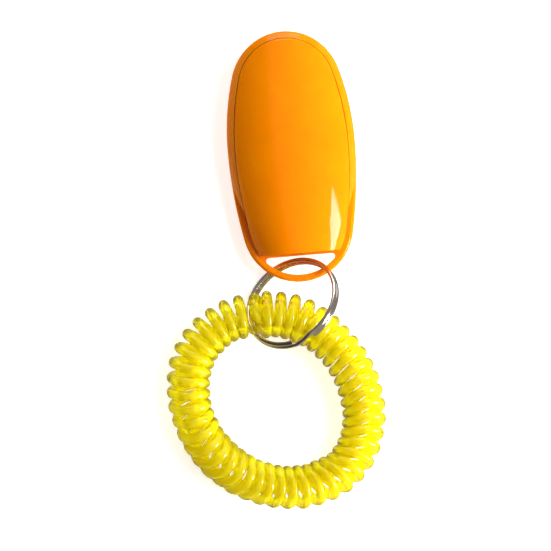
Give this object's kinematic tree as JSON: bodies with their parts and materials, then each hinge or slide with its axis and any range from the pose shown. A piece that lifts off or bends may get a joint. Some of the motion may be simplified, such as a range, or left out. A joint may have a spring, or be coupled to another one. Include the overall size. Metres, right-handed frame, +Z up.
{
  "type": "clicker trainer",
  "caption": "Pet-training clicker: oval palm body whose domed top presses a steel click plate, with a key loop, a split ring and a coiled wrist band.",
  "frame": {"origin": "under the middle of the clicker's oval body, on its flat rest face", "axes": "+Z up from the rest face to the domed press cover, +Y from the key loop towards the wide end, +X to the right seen from above"},
  "size_m": [0.0553, 0.1204, 0.0186],
  "materials": {
    "orange_shell": "glossy",
    "steel_wire": "polished",
    "spring_steel": "satin",
    "screw_steel": "satin",
    "yellow_coil": "glossy translucent"
  },
  "bodies": {
    "clicker": {"rim_frame": "orange_shell", "base_cover": "orange_shell", "hinge_pin": "screw_steel", "plate_clamp": "spring_steel", "case_screws": "screw_steel", "plate_clamp_screws": "screw_steel"},
    "cover": {"press_cover": "orange_shell"},
    "plate": {"click_plate": "spring_steel"},
    "ring": {"split_ring": "steel_wire"},
    "band": {"wrist_coil": "yellow_coil"}
  },
  "joints": [
    {"name": "cover_press", "type": "hinge", "parent": "clicker", "child": "cover", "pos_m": [0, -0.019, 0.0087], "axis": [-1, 0, 0], "range_deg": [0, 2.5], "stiffness_Nm_per_rad": 2.5, "springref_deg": -2.29},
    {"name": "plate_flex", "type": "hinge", "parent": "clicker", "child": "plate", "pos_m": [0, -0.007, 0.0042], "axis": [-1, 0, 0], "range_deg": [0, 4.2]},
    {"name": "ring_swing", "type": "hinge", "parent": "clicker", "child": "ring", "pos_m": [-0.00135, -0.02828, 0.00448], "axis": [-0.9004, -0.1848, -0.3939], "range_deg": [0, 60]},
    {"name": "band_slide", "type": "hinge", "parent": "ring", "child": "band", "pos_m": [-0.0031, -0.0366, 0.00946], "axis": [-0.4138, 0.5258, 0.7431], "range_deg": [0, 30]}
  ],
  "couplings": [
    {"joint": "plate_flex", "follows": "cover_press", "ratio": 1.63}
  ]
}
